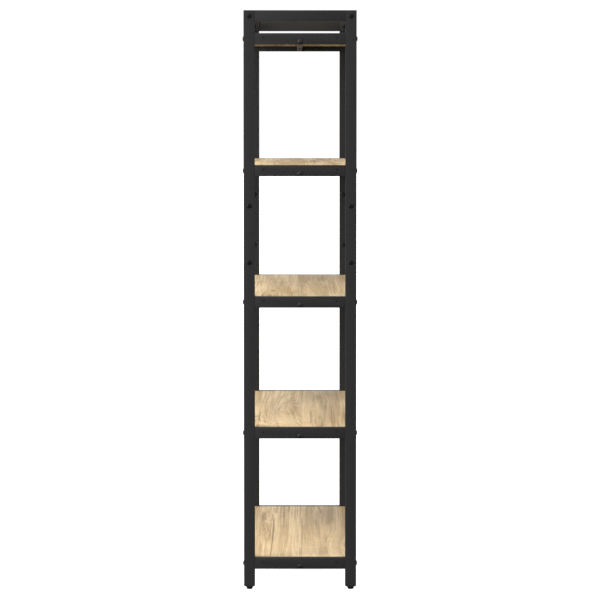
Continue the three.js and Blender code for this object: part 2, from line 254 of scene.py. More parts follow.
class FootSizes(bpy.types.PropertyGroup):
    ribs: IntProperty(name="Grip ribs", description="Ribs round a foot's rim", default=24,
                      min=6, max=60)
    rib_depth: length("Rib depth", "Depth of the grip ribs", 0.00025)
    stem_share: number("Stem share", "Diameter of the stem as a share of the foot's", 0.41, 0.1, 0.9)
    stem_clearance: length("Stem clearance", "Play of the stem in the leg's plug", 0.0003)
    thread_pitch: length("Thread pitch", "Pitch of the foot's thread", 0.00125)
    finish: colour("Foot colour", "Colour of the plastic feet", (0.010, 0.010, 0.011))


class StageSizes(bpy.types.PropertyGroup):
    camera_place: FloatVectorProperty(name="Camera place", description="Where the camera stands",
                                      default=(9.5784, -0.01592, 1.31426), size=3,
                                      subtype="TRANSLATION", unit="LENGTH")
    camera_aim: FloatVectorProperty(name="Camera aim",
                                    description="Direction in which the camera looks",
                                    default=(-0.998289, 0.001752, -0.058442), size=3,
                                    subtype="DIRECTION")
    lens: number("Lens", "Focal length in millimetres", 199.5, 20.0, 400.0)
    sensor: number("Sensor", "Sensor width in millimetres", 36.0, 10.0, 60.0)
    floor: colour("Floor colour", "Colour of the plain pale floor", (0.85, 0.85, 0.85))
    floor_glow: number("Floor glow", "Even brightness added to the floor that is seen", 0.85)
    floor_bounce: number("Floor bounce", "Share of light that the floor throws back up", 0.16, 0.0, 1.0)
    world: number("Ambient strength", "Strength of the light from all round", 0.92)
    key: number("Key power", "Power of the front softbox in watts", 135.0, 0.0, 5000.0)
    top: number("Top power", "Power of the overhead softbox in watts", 40.0, 0.0, 5000.0)
    fill: number("Fill power", "Power of the end softbox in watts", 10.0, 0.0, 5000.0)


class BookcaseSettings(bpy.types.PropertyGroup):
    tube: PointerProperty(type=TubeSizes)
    bolt: PointerProperty(type=BoltSizes)
    board: PointerProperty(type=BoardSizes)
    bar: PointerProperty(type=BarSizes)
    foot: PointerProperty(type=FootSizes)
    stage: PointerProperty(type=StageSizes)


# ---------------------------------------------------------------- mesh helpers

def outline(width, height, corner, steps=OUTLINE_STEPS):
    """Points of a rounded rectangle, anticlockwise, centred on the origin."""
    points = []
    for quarter, (sx, sy) in enumerate(((1, 1), (-1, 1), (-1, -1), (1, -1))):
        cx, cy = sx * (width / 2 - corner), sy * (height / 2 - corner)
        for step in range(steps + 1):
            a = math.pi / 2 * (quarter + step / steps)
            points.append((cx + corner * math.cos(a), cy + corner * math.sin(a)))
    return points


def circle(radius, steps=LATHE_STEPS):
    return [(radius * math.cos(2 * math.pi * i / steps), radius * math.sin(2 * math.pi * i / steps))
            for i in range(steps)]


def loft(bm, rings, closed=False):
    """Skins a run of rings, each a list of 2-D points and a height, and caps or closes its ends."""
    rows = [[bm.verts.new((x, y, z)) for x, y in points] for points, z in rings]
    pairs = list(zip(rows, rows[1:]))
    if closed:
        pairs.append((rows[-1], rows[0]))
    for low, high in pairs:
        for i in range(len(low)):
            j = (i + 1) % len(low)
            bm.faces.new((low[i], low[j], high[j], high[i]))
    if not closed:
        bm.faces.new(list(reversed(rows[0])))
        bm.faces.new(rows[-1])


def eased_block(bm, width, height, corner, low, high, ease):
    """A solid length of rounded section whose two ends are eased."""
    def ring(inset):
        return outline(width - 2 * inset, height - 2 * inset,
                       max(corner - inset, corner * LEAST_CORNER))

    step = ease * EASE_STEP
    loft(bm, [(ring(ease), low), (ring(step), low + step), (ring(0), low + ease),
              (ring(0), high - ease), (ring(step), high - step), (ring(ease), high)])


def open_tube(bm, width, height, corner, wall, low, high, ease):
    """An open tube with eased ends, as one closed skin."""
    def outer(inset):
        return outline(width - 2 * inset, height - 2 * inset,
                       max(corner - inset, corner * LEAST_CORNER))

    def inner(inset):
        inside = wall - inset
        return outline(width - 2 * inside, height - 2 * inside,
                       max(corner - inside, corner * LEAST_INNER_CORNER))

    loft(bm, [(outer(0), low + ease), (outer(0), high - ease), (outer(ease), high),
              (inner(ease), high), (inner(0), high - ease), (inner(0), low + ease),
              (inner(ease), low), (outer(ease), low)], closed=True)


def placed(bm, matrix, start):
    """Moves the vertices made since start by a matrix."""
    bm.verts.ensure_lookup_table()
    bmesh.ops.transform(bm, matrix=matrix, verts=bm.verts[start:])


ALONG_X = Matrix(((0, 0, 1, 0), (1, 0, 0, 0), (0, 1, 0, 0), (0, 0, 0, 1)))
ALONG_Y = Matrix(((0, 1, 0, 0), (0, 0, 1, 0), (1, 0, 0, 0), (0, 0, 0, 1)))


def smooth(mesh, sharp=SHARP_ANGLE):
    """Shades a mesh smooth and keeps the edges that are sharper than an angle in degrees."""
    for polygon in mesh.polygons:
        polygon.use_smooth = True
    mesh.set_sharp_from_angle(angle=math.radians(sharp))


def mesh_of(name, bm):
    """Turns a bmesh into a mesh and frees it."""
    mesh = bpy.data.meshes.new(name)
    bm.to_mesh(mesh)
    bm.free()
    return mesh


def shown(name, data):
    """An object with the given data, linked to the scene."""
    made = bpy.data.objects.new(name, data)
    bpy.context.scene.collection.objects.link(made)
    return made


def finished(name, bm, finish, sharp=SHARP_ANGLE):
    """Turns a bmesh into a smooth-shaded object with sharp edges kept and a named finish."""
    bmesh.ops.recalc_face_normals(bm, faces=bm.faces)
    mesh = mesh_of(name, bm)
    smooth(mesh, sharp)
    mesh.materials.append(finish_for(finish))
    return shown(name, mesh)


def settle(piece, body, slot, *nodes):
    """Hands a finished piece to the frame: its body and the nodes it stands for; the material slot
    argument is not used.
    """
    if not piece.data.polygons:
        raise RuntimeError(f"{piece.name} came out without any faces")
    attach(piece, body)
    if nodes:
        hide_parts(*nodes)
    return piece


def applied(piece):
    """Replaces a piece's mesh by its evaluated mesh and removes its modifiers."""
    graph = bpy.context.evaluated_depsgraph_get()
    mesh = bpy.data.meshes.new_from_object(piece.evaluated_get(graph), depsgraph=graph)
    old = piece.data
    piece.modifiers.clear()
    piece.data = mesh
    mesh.name = piece.name
    bpy.data.meshes.remove(old)
    return piece


def drilled(piece, holes):
    """Cuts round holes, each a centre, a direction, a radius and a depth, into a piece."""
    bm = bmesh.new()
    for centre, direction, radius, depth in holes:
        start = len(bm.verts)
        loft(bm, [(circle(radius, HOLE_STEPS), -depth), (circle(radius, HOLE_STEPS), depth)])
        turn = Vector(direction).to_track_quat("Z", "Y").to_matrix().to_4x4()
        placed(bm, Matrix.Translation(centre) @ turn, start)
    bmesh.ops.recalc_face_normals(bm, faces=bm.faces)
    mesh = mesh_of("drill", bm)
    drill = shown("drill", mesh)
    cut = piece.modifiers.new("Holes", "BOOLEAN")
    cut.operation = "DIFFERENCE"
    cut.solver = "EXACT"
    cut.object = drill
    applied(piece)
    bpy.data.objects.remove(drill)
    bpy.data.meshes.remove(mesh)
    piece.data.set_sharp_from_angle(angle=math.radians(SHARP_ANGLE))
    return piece


# ---------------------------------------------------------------- shader node groups

class Wiring:
    """Small helper that adds and joins nodes in one tree."""

    def __init__(self, tree):
        self.tree = tree

    def node(self, kind, feeds=None, **settings):
        """Adds a node with its settings and with what its inputs are fed."""
        made = self.tree.nodes.new(kind)
        for key, value in settings.items():
            setattr(made, key, value)
        self.fill(made, feeds or {})
        return made

    def out(self, kind, feeds=None, **settings):
        """Adds a node and gives its first output."""
        return self.node(kind, feeds, **settings).outputs[0]

    def fill(self, node, feeds):
        """Feeds a node's inputs with values or with other nodes' outputs."""
        for key, value in feeds.items():
            if isinstance(value, bpy.types.NodeSocket):
                self.link(value, node.inputs[key])
            else:
                node.inputs[key].default_value = value

    def link(self, source, target):
        self.tree.links.new(source, target)

    def math(self, operation, *values, clamp=False):
        return self.out("ShaderNodeMath", dict(enumerate(values)), operation=operation,
                        use_clamp=clamp)

    def plus(self, first, second):
        return self.math("ADD", first, second)

    def minus(self, first, second):
        return self.math("SUBTRACT", first, second)

    def times(self, first, second):
        return self.math("MULTIPLY", first, second)

    def vector(self, x, y, z):
        return self.out("ShaderNodeCombineXYZ", {0: x, 1: y, 2: z})

    def parts(self, vector):
        return self.node("ShaderNodeSeparateXYZ", {0: vector}).outputs

    def noise(self, vector, scale, detail, roughness):
        feeds = {"Vector": vector, "Scale": scale, "Detail": detail, "Roughness": roughness}
        return self.node("ShaderNodeTexNoise", feeds, noise_dimensions="3D").outputs["Fac"]

    def span(self, value, low, high, to_low=0.0, to_high=1.0, smooth=True):
        return self.out("ShaderNodeMapRange", {0: value, 1: low, 2: high, 3: to_low, 4: to_high},
                        clamp=True, interpolation_type="SMOOTHSTEP" if smooth else "LINEAR")

    def mix(self, factor, first, second, blend="MIX"):
        return self.node("ShaderNodeMix", {0: factor, 6: first, 7: second}, data_type="RGBA",
                         blend_type=blend).outputs[2]

    def camera_mix(self, others, seen, output):
        """Shows one shader to the camera and the other one to everything else."""
        ways = self.node("ShaderNodeLightPath").outputs["Is Camera Ray"]
        both = self.out("ShaderNodeMixShader", {0: ways, 1: others, 2: seen})
        self.link(both, self.tree.nodes[output].inputs[0])


def new_group(name, inputs, outputs):
    """A shader node group: named inputs with their defaults (a vector has none), and output names."""
    kinds = {float: "NodeSocketFloat", tuple: "NodeSocketColor", type(None): "NodeSocketVector"}
    tree = bpy.data.node_groups.new(name, "ShaderNodeTree")
    for label, default in inputs.items():
        socket = tree.interface.new_socket(name=label, in_out="INPUT",
                                           socket_type=kinds[type(default)])
        if default is not None:
            socket.default_value = default
    for label in outputs:
        kind = kinds[tuple if label == "Color" else float]
        tree.interface.new_socket(name=label, in_out="OUTPUT", socket_type=kind)
    b = Wiring(tree)
    return tree, b, b.node("NodeGroupInput").outputs, b.node("NodeGroupOutput")


def rgba(value):
    return (*value, 1.0)


def coat_group():
    """Powder coat: fine orange peel, faint tone drift and settled dust on upward faces."""
    tree, b, take, give = new_group(
        "Powder coat", {"Vector": None, "Color": WHITE, "Peel Scale": 1400.0, "Tone Drift": 0.12,
                        "Roughness": 0.5, "Dust": 0.05}, ("Color", "Roughness", "Height"))
    peel = b.noise(take["Vector"], take["Peel Scale"], 3.0, 0.55)
    drift = b.noise(take["Vector"], DRIFT_SCALE, 3.0, 0.6)
    swing = b.times(b.minus(drift, 0.5), take["Tone Drift"])
    speck = b.times(b.minus(peel, 0.5), SPECK_DEPTH)
    gain = b.plus(b.plus(swing, speck), 1.0)
    tone = b.mix(1.0, take["Color"], b.vector(gain, gain, gain), "MULTIPLY")
    facing = b.parts(b.node("ShaderNodeNewGeometry").outputs["Normal"])
    upward = b.span(facing[2], 0.6, 1.0)
    settled = b.times(b.times(upward, b.span(drift, 0.35, 0.75)), take["Dust"])
    change = b.times(b.minus(drift, 0.5), ROUGHNESS_SWING)
    rough = b.math("ADD", take["Roughness"], change, clamp=True)
    b.fill(give, {"Color": b.mix(settled, tone, DUST_COLOUR), "Roughness": rough, "Height": peel})
    return tree


def spot_group():
    """A soft oval spot on one board, measured along and across the grain."""
    tree, b, take, give = new_group(
        "Oak spot", {"Vector": None, "Place": None, "Length": 0.3, "Width": 0.05, "Strength": 1.0},
        ("Amount",))
    offset = b.out("ShaderNodeVectorMath", {0: take["Vector"], 1: take["Place"]},
                   operation="SUBTRACT")
    x, y, z = b.parts(offset)
    along = b.math("DIVIDE", x, take["Length"])
    across = b.math("DIVIDE", y, take["Width"])
    reach = b.plus(b.times(along, along), b.times(across, across))
    fade = b.math("EXPONENT", b.times(reach, -1.0))
    here = b.math("LESS_THAN", b.math("ABSOLUTE", z), BOARD_REACH)
    b.fill(give, {"Amount": b.times(b.times(fade, here), take["Strength"])})
    return tree


def spots(b, vector, kind, marks):
    """Sum of the soft spots in a list of level, place along, place across, length, width, strength."""
    total = 0.0
    for level, along, across, size, width, strength in marks:
        place = (along, across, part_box(f"shelf_board_{level}")[1].z)
        spot = b.out("ShaderNodeGroup", {"Vector": vector, "Place": place, "Length": size,
                                         "Width": width, "Strength": strength}, node_tree=kind)
        total = b.plus(spot, total)
    return total


def oak_group():
    """Oak decor in planks: rings, swirls, knots, fibres, pores, saw marks and seams, with grey patches
    that partly paint shade and pale patches that partly paint light.
    """
    tree, b, take, give = new_group(
        "Oak planks", {"Vector": None, "Plank Width": 0.15, "Seam Offset": 0.004,
                       "Board Spacing": 0.3555, "Ring Count": 165.0, "Seed": 0.0, "Light": WHITE,
                       "Mid": WHITE, "Dark": WHITE, "Grey": WHITE}, ("Color", "Roughness", "Height"))
    x, y, z = b.parts(take["Vector"])
    width = take["Plank Width"]
    across = b.math("DIVIDE", b.minus(y, take["Seam Offset"]), width)
    plank = b.math("FLOOR", across)
    inside = b.math("FRACT", across)
    level = b.math("FLOOR", b.math("DIVIDE", b.plus(z, 0.1), take["Board Spacing"]))
    chance = b.node("ShaderNodeTexWhiteNoise", {"Vector": b.vector(plank, level, take["Seed"])},
                    noise_dimensions="3D")
    first, second, third = b.node("ShaderNodeSeparateColor", {0: chance.outputs["Color"]}).outputs
    side = b.plus(y, z)

    def field(name, bend=None):
        """One of the oak's noise fields, drawn out along the board and different on every plank."""
        along_scale, across_scale, start, detail, roughness = OAK_FIELDS[name]
        run = b.plus(b.times(x, along_scale), b.times(first, PLANK_SHIFT + start))
        breadth = side if bend is None else b.plus(side, bend)
        depth = b.plus(b.times(third, PLANK_DEPTH), start)
        place = b.vector(run, b.times(breadth, across_scale), depth)
        return b.noise(place, 1.0, detail, roughness)

    def centred(value, gain):
        return b.times(b.minus(value, 0.5), gain)

    spot = spot_group()
    swirl, knot, grey_and_shaded, pale = (spots(b, take["Vector"], spot, marks)
                                 for marks in (SWIRLS, KNOTS, GREY_AND_SHADE_PATCHES, PALE_AND_LIT_PATCHES))
    centre = b.span(first, 0.0, 1.0, 0.25, 0.75, smooth=False)
    middle = b.times(b.minus(inside, centre), width)
    pith = b.span(second, 0.0, 1.0, 0.015, 0.10, smooth=False)
    cone = b.math("SQRT", b.plus(b.times(middle, middle), b.times(pith, pith)))
    lean = b.times(x, centred(third, LEAN))
    sway = b.plus(centred(field("bow"), BOW), centred(field("waver"), WAVER))
    pull = b.plus(swirl, b.times(knot, KNOT_PULL))
    rings = b.plus(b.plus(cone, lean), b.plus(sway, pull))
    phase = b.math("FRACT", b.times(rings, take["Ring Count"]))
    late = b.times(b.span(phase, 0.15, 0.82), b.span(phase, 1.0, 0.86))
    broken = b.span(field("breaks", rings), 0.38, 0.66, 0.12, 1.0)
    clear = b.span(field("clearings"), 0.40, 0.64, 0.10, 1.0)
    strong = b.math("MAXIMUM", clear, b.times(swirl, SWIRL_SHARE), clamp=True)
    line = b.times(late, b.times(broken, strong))

    bands = field("bands", b.times(rings, 0.4))
    fibres = field("fibres", b.times(rings, 0.5))
    pores = b.span(field("pores"), 0.50, 0.74)
    weather = b.span(field("weather"), 0.57, 0.74, 0.0, 0.40)
    sawn = b.times(b.span(field("saw marks"), 0.48, 0.68),
                   b.span(field("sawn areas"), 0.42, 0.60, 0.15, 1.0))
    bent = b.vector(x, b.plus(y, b.times(sway, 0.8)), z)
    vein = spots(b, bent, spot, STREAKS)

    tone = b.mix(b.span(bands, 0.38, 0.65), take["Light"], take["Mid"])
    tone = b.mix(b.span(fibres, 0.42, 0.64, 0.0, 0.60), tone, take["Mid"])
    tone = b.mix(b.span(fibres, 0.54, 0.32, 0.0, 0.55), tone, take["Light"])
    # The pale patches lighten the tone: pale figure in part, and painted light on the +X half.
    pale_and_lit = b.times(pale, b.span(bands, 0.62, 0.46, 0.55, 1.0))
    tone = b.mix(pale_and_lit, tone, take["Light"])
    # Weather noise greys the tone at random; the grey patches add painted shade at the far right
    # corners.
    weather_and_shade = b.math("MAXIMUM", weather, b.times(grey_and_shaded, b.span(bands, 0.3, 0.7, 0.6, 1.0)))
    tone = b.mix(weather_and_shade, tone, take["Grey"])
    tone = b.mix(b.times(sawn, SAW_SHARE), tone, take["Mid"])
    tone = b.mix(b.times(line, LINE_SHARE), tone, take["Dark"])
    tone = b.mix(vein, tone, take["Dark"])
    heart = b.span(knot, 0.40, 0.95, 0.0, HEART_SHARE)
    tone = b.mix(heart, tone, take["Dark"])
    tone = b.mix(b.times(pores, PORE_SHARE), tone, take["Dark"])
    shade = b.span(third, 0.0, 1.0, 0.93, 1.04, smooth=False)
    tone = b.mix(1.0, tone, b.vector(shade, shade, shade), "MULTIPLY")
    edge = b.math("MINIMUM", inside, b.minus(1.0, inside))
    seam = b.span(b.times(edge, width), 0.0011, 0.0002)
    tone = b.mix(b.times(seam, SEAM_SHARE), tone, take["Dark"])
    rough = b.plus(0.50, b.times(line, 0.10))
    depth = b.plus(b.times(pores, -0.6), b.times(line, -0.25))
    b.fill(give, {"Color": tone, "Roughness": b.plus(rough, b.times(pores, 0.12)),
                  "Height": b.minus(depth, seam)})
    return tree


def coated(name, group, values, bump, specular=0.5, distance=0.0002):
    """A material whose colour, roughness and height come from a finish group."""
    material = bpy.data.materials.new(name)
    material.use_nodes = True
    b = Wiring(material.node_tree)
    place = b.node("ShaderNodeTexCoord").outputs["Object"]
    finish = b.node("ShaderNodeGroup", {"Vector": place, **values}, node_tree=group).outputs
    relief = b.out("ShaderNodeBump", {"Strength": bump, "Distance": distance,
                                      "Height": finish["Height"]})
    b.fill(b.tree.nodes["Principled BSDF"],
           {"Base Color": finish["Color"], "Roughness": finish["Roughness"], "Normal": relief,
            "Specular IOR Level": specular})
    return material


def finish_for(kind):
    """The named finish, made once: black coat, black or dark bolt, grey bar, oak or foot plastic."""
    name = kind.replace("_", " ").capitalize()
    if name in bpy.data.materials:
        return bpy.data.materials[name]
    s = bpy.context.scene.bookcase
    if kind == "oak_board":
        board = s.board
        values = {"Plank Width": board.plank_width, "Seam Offset": board.seam_offset,
                  "Ring Count": board.ring_count, "Seed": board.seed, "Light": rgba(board.light),
                  "Mid": rgba(board.mid), "Dark": rgba(board.dark), "Grey": rgba(board.grey)}
        return coated(name, oak_group(), values, 0.35, 0.05)
    group = bpy.data.node_groups.get("Powder coat") or coat_group()
    # Colour, peel scale, tone drift, roughness, dust, bump and specular level of each coat.
    recipes = {
        "black_coat": (s.tube.coat, 1500.0, 0.05, s.tube.roughness, 0.03, 0.07, 0.14),
        "black_bolt": (s.bolt.finish, 2600.0, 0.08, 0.30, 0.02, 0.06, 0.45),
        "dark_bolt": (s.bolt.finish, 2600.0, 0.08, 0.26, 0.0, 0.05, 0.18),
        "grey_bar": (s.bar.finish, 1800.0, 0.10, 0.48, 0.03, 0.18, 0.45),
        "foot_plastic": (s.foot.finish, 3200.0, 0.06, 0.58, 0.0, 0.25, 0.4),
    }
    tint, scale, drift, roughness, dust, bump, specular = recipes[kind]
    values = {"Color": rgba(tint), "Peel Scale": scale, "Tone Drift": drift,
              "Roughness": roughness, "Dust": dust}
    return coated(name, group, values, bump, specular)


# ---------------------------------------------------------------- bolt heads

def bolt_tree():
    """Geometry nodes: a domed head with a hexagon socket on every point, turned to its direction."""
    tree = bpy.data.node_groups.new("Domed bolts", "GeometryNodeTree")
    sockets = (("Geometry", "NodeSocketGeometry"), ("Head Diameter", "NodeSocketFloat"),
               ("Head Height", "NodeSocketFloat"), ("Socket Size", "NodeSocketFloat"),
               ("Socket Depth", "NodeSocketFloat"), ("Seed", "NodeSocketInt"),
               ("Material", "NodeSocketMaterial"))
    for label, kind in sockets:
        tree.interface.new_socket(name=label, in_out="INPUT", socket_type=kind)
    tree.interface.new_socket(name="Geometry", in_out="OUTPUT", socket_type="NodeSocketGeometry")
    b = Wiring(tree)
    take = b.node("NodeGroupInput").outputs

    ball = b.node("GeometryNodeMeshUVSphere",
                  {"Segments": DOME_SEGMENTS, "Rings": DOME_RINGS, "Radius": 1.0})
    x, y, z = b.parts(b.out("GeometryNodeInputPosition"))
    radius = b.times(take["Head Diameter"], 0.5)
    lifted = b.math("POWER", b.math("MAXIMUM", z, 0.0), DOME_POWER)
    dome = b.vector(b.times(x, radius), b.times(y, radius), b.times(lifted, take["Head Height"]))
    head = b.out("GeometryNodeSetPosition", {"Geometry": ball.outputs["Mesh"], "Position": dome})

    hexagon = b.node("GeometryNodeMeshCylinder",
                     {"Vertices": HEX_SIDES, "Radius": b.times(take["Socket Size"], 0.5),
                      "Depth": b.times(take["Socket Depth"], 2.0)})
    raised = b.vector(0.0, 0.0, take["Head Height"])
    sunk = b.out("GeometryNodeTransform",
                 {"Geometry": hexagon.outputs["Mesh"], "Translation": raised})
    socket = b.node("GeometryNodeMeshBoolean", {"Mesh 1": head, "Mesh 2": sunk},
                    operation="DIFFERENCE", solver="EXACT")

    direction = b.out("GeometryNodeInputNamedAttribute", {"Name": "outward"},
                      data_type="FLOAT_VECTOR")
    turn = b.out("FunctionNodeAlignRotationToVector", {"Vector": direction}, axis="Z")
    spin = b.node("FunctionNodeRandomValue",
                  {2: 0.0, 3: math.tau / HEX_SIDES, "Seed": take["Seed"]}, data_type="FLOAT")
    local = b.out("FunctionNodeAxisAngleToRotation", {"Angle": spin.outputs[1]})
    both = b.out("FunctionNodeRotateRotation", {0: turn, 1: local}, rotation_space="LOCAL")

    heads = b.out("GeometryNodeInstanceOnPoints",
                  {"Points": take["Geometry"], "Instance": socket.outputs["Mesh"],
                   "Rotation": both})
    real = b.out("GeometryNodeRealizeInstances", {0: heads})
    coloured = b.out("GeometryNodeSetMaterial", {"Geometry": real, "Material": take["Material"]})
    b.node("NodeGroupOutput", {0: coloured})
    return tree


def bolt_heads(name, places, diameter, height, socket_size, socket_depth, finish="black_bolt"):
    """A mesh of bolt heads, one at each place, which is a point and its outward direction."""
    mesh = bpy.data.meshes.new(name)
    mesh.from_pydata([tuple(point) for point, _ in places], [], [])
    outward = mesh.attributes.new("outward", "FLOAT_VECTOR", "POINT")
    for index, (_, direction) in enumerate(places):
        outward.data[index].vector = direction
    piece = shown(name, mesh)
    tree = bpy.data.node_groups.get("Domed bolts") or bolt_tree()
    values = {"Head Diameter": diameter, "Head Height": height, "Socket Size": socket_size,
              "Socket Depth": socket_depth, "Seed": bpy.context.scene.bookcase.bolt.seed,
              "Material": finish_for(finish)}
    nodes = piece.modifiers.new("Bolts", "NODES")
    nodes.node_group = tree
    for socket in tree.interface.items_tree:
        if socket.in_out == "INPUT" and socket.name in values:
            nodes[socket.identifier] = values[socket.name]
    applied(piece)
    smooth(piece.data, BOLT_SHARP_ANGLE)
    return piece


# ---------------------------------------------------------------- pieces

def span_of(node):
    """Middle, size and lowest and highest corners of a CAD node."""
    low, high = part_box(node)
    return (low + high) / 2, high - low, low, high


class BOOKCASE_OT_posts(bpy.types.Operator):
    """Build the eight post halves and the sleeves inside them"""
    bl_idname = "bookcase.posts"
    bl_label = "Posts and sleeves"
    bl_options = {"REGISTER", "UNDO"}

    def execute(self, context):
        s = context.scene.bookcase
        for corner, _ in CORNERS:
            for half in ("lower", "upper"):
                node = f"post_{half}_{corner}"
                middle, size, low, high = span_of(node)
                bm = bmesh.new()
                if half == "lower":
                    plug = 2 * s.tube.foot_end_ease
                    open_tube(bm, size.x, size.y, s.tube.corner, s.tube.wall,
                              low.z + plug + s.tube.end_ease, high.z, s.tube.end_ease / 2)
                    self.add_plug(s, bm, corner, size, low.z, low.z + plug + 2 * s.tube.end_ease)
                else:
                    rim = high.z - s.tube.cap
                    open_tube(bm, size.x, size.y, s.tube.corner, s.tube.wall, low.z, rim,
                              s.tube.end_ease / 2)
                    eased_block(bm, size.x, size.y, s.tube.corner, rim - s.tube.end_ease, high.z,
                                s.tube.end_ease)
                placed(bm, Matrix.Translation((middle.x, middle.y, 0)), 0)
                settle(finished(f"{node}_tube", bm, "black_coat"), "frame", "black_coat", node)
            self.sleeve(s, corner)
        return {"FINISHED"}

    def add_plug(self, s, bm, corner, size, low, high):
        """Joins the plug of a leg's lower end, with its hole for the foot's stem."""
        foot = span_of(f"foot_{corner}")[1].x
        hole = foot / 2 * s.foot.stem_share + s.foot.stem_clearance
        plug_bm = bmesh.new()
        eased_block(plug_bm, size.x - 2 * s.tube.end_ease, size.y - 2 * s.tube.end_ease,
                    s.tube.corner, low, high, s.tube.foot_end_ease)
        plug = finished("plug", plug_bm, "black_coat")
        drilled(plug, [(Vector((0, 0, (low + high) / 2)), (0, 0, 1), hole, high - low)])
        bm.from_mesh(plug.data)
        mesh = plug.data
        bpy.data.objects.remove(plug)
        bpy.data.meshes.remove(mesh)

    def sleeve(self, s, corner):
        """The sleeve that joins the two halves of a post from inside."""
        node = f"sleeve_{corner}"
        middle, size, low, high = span_of(node)
        bm = bmesh.new()
        open_tube(bm, size.y, size.y, s.tube.corner, s.tube.wall, low.z, high.z, s.tube.end_ease)
        placed(bm, Matrix.Translation((middle.x, middle.y, 0)), 0)
        settle(finished(f"{node}_tube", bm, "black_coat"), "frame", "black_coat", node)


class BOOKCASE_OT_side_rails(bpy.types.Operator):
    """Build the ten shelf side rails with their tabs and the two guard rails"""
    bl_idname = "bookcase.side_rails"
    bl_label = "Side rails"
    bl_options = {"REGISTER", "UNDO"}

    def execute(self, context):
        s = context.scene.bookcase
        for side_name, side in SIDES:
            guard = f"top_rail_{side_name}"
            settle(self.tube(s, guard, guard), "frame", "black_coat", guard)
            for level in LEVELS:
                node = f"side_rail_{level}_{side_name}"
                self.shelf_rail(s, node, guard, side, level)
        return {"FINISHED"}

    def tube(self, s, node, pattern):
        """The rail's own tube; the pattern node gives its width along X."""
        _, _, low, high = span_of(node)
        middle, size, _, _ = span_of(pattern)
        bm = bmesh.new()
        reach = s.tube.rail_reach
        eased_block(bm, high.z - low.z, size.x, s.tube.corner, low.y - reach, high.y + reach,
                    s.tube.rail_end_ease)
        placed(bm, Matrix.Translation((middle.x, 0, (low.z + high.z) / 2)) @ ALONG_Y, 0)
        return finished(f"{node}_tube", bm, "black_coat")

    def shelf_rail(self, s, node, guard, side, level):
        """A side rail under a shelf, with its two access holes and its two tabs."""
        _, _, low, high = span_of(node)
        piece = self.tube(s, node, guard)
        outer = high.x if side > 0 else low.x
        holes = [(Vector((outer, hand * s.tube.access_offset, high.z - s.tube.access_drop)),
                  (side, 0, 0), s.tube.access_radius, s.tube.access_depth) for hand in (-1, 1)]
        drilled(piece, holes)
        self.add_tabs(s, piece, node, guard, side, level)
        settle(piece, "frame", "black_coat", node)

    def add_tabs(self, s, piece, node, guard, side, level):
        """Joins the two steel tabs under the board to the rail's mesh."""
        _, _, low, high = span_of(node)
        _, _, guard_low, guard_high = span_of(guard)
        board_low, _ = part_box(f"shelf_board_{level}")
        inner = guard_low.x if side > 0 else guard_high.x
        tip = low.x if side > 0 else high.x
        top = board_low.z - s.tube.gap
        bm = bmesh.new()
        bm.from_mesh(piece.data)
        for hand in (-1, 1):
            start = len(bm.verts)
            reach = abs(inner - tip) + s.tube.corner
            eased_block(bm, reach, s.tube.tab_width, s.tube.tab_corner,
                        top - s.tube.tab_thickness, top, s.tube.tab_ease)
            place = Matrix.Translation((tip + side * reach / 2, hand * s.tube.access_offset, 0))
            placed(bm, place, start)
        bm.to_mesh(piece.data)
        bm.free()
        smooth(piece.data)


class BOOKCASE_OT_top_ties(bpy.types.Operator):
    """Build the two long ties of the guard frame with their end plates"""
    bl_idname = "bookcase.top_ties"
    bl_label = "Top ties"
    bl_options = {"REGISTER", "UNDO"}

    def execute(self, context):
        s = context.scene.bookcase
        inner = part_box("post_upper_right_front")[0].x - s.tube.gap
        for face_name, face in FACES:
            node = f"top_tie_{face_name}"
            middle, size, low, high = span_of(node)
            depth = size.y * TIE_DEPTH_SHARE
            bm = bmesh.new()
            eased_block(bm, depth, size.z, s.bar.corner, -inner, inner, s.tube.end_ease)
            y = (high.y - depth / 2) if face > 0 else (low.y + depth / 2)
            placed(bm, Matrix.Translation((0, y, middle.z)) @ ALONG_X, 0)
            plate = s.tube.cap
            for side in (-1, 1):
                start = len(bm.verts)
                eased_block(bm, size.y - s.tube.end_ease, size.z - s.tube.end_ease, s.tube.corner,
                            -plate / 2, plate / 2, s.tube.end_ease)
                at = Matrix.Translation((side * (inner - plate / 2), middle.y, middle.z))
                placed(bm, at @ ALONG_X, start)
            settle(finished(f"{node}_tube", bm, "black_coat"), "frame", "black_coat", node)
        return {"FINISHED"}


class BOOKCASE_OT_support_bars(bpy.types.Operator):
    """Build the five grey bars that run under the middle of the boards"""
    bl_idname = "bookcase.support_bars"
    bl_label = "Support bars"
    bl_options = {"REGISTER", "UNDO"}

    def execute(self, context):
        s = context.scene.bookcase
        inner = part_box("top_rail_right")[0].x - s.tube.gap
        for level in LEVELS:
            node = f"support_bar_{level}"
            middle, size, _, _ = span_of(node)
            bm = bmesh.new()
            eased_block(bm, size.y, size.z, s.bar.corner, -inner, inner, s.tube.end_ease)
            placed(bm, Matrix.Translation((0, middle.y, middle.z)) @ ALONG_X, 0)
            settle(finished(f"{node}_tube", bm, "grey_bar"), "frame", "grey_steel", node)
        return {"FINISHED"}


class BOOKCASE_OT_boards(bpy.types.Operator):
    """Build the five loose oak boards with banded, eased edges"""
    bl_idname = "bookcase.boards"
    bl_label = "Shelf boards"
    bl_options = {"REGISTER", "UNDO"}

    def execute(self, context):
        s = context.scene.bookcase
        for level in LEVELS:
            node = f"shelf_board_{level}"
            middle, size, low, high = span_of(node)
            bm = bmesh.new()
            eased_block(bm, size.y, size.z, s.board.ease, low.x, high.x, s.board.ease)
            placed(bm, Matrix.Translation((0, middle.y, middle.z)) @ ALONG_X, 0)
            settle(finished(f"{node}_oak", bm, "oak_board"), f"shelf_{level}", "oak_board", node)
        return {"FINISHED"}


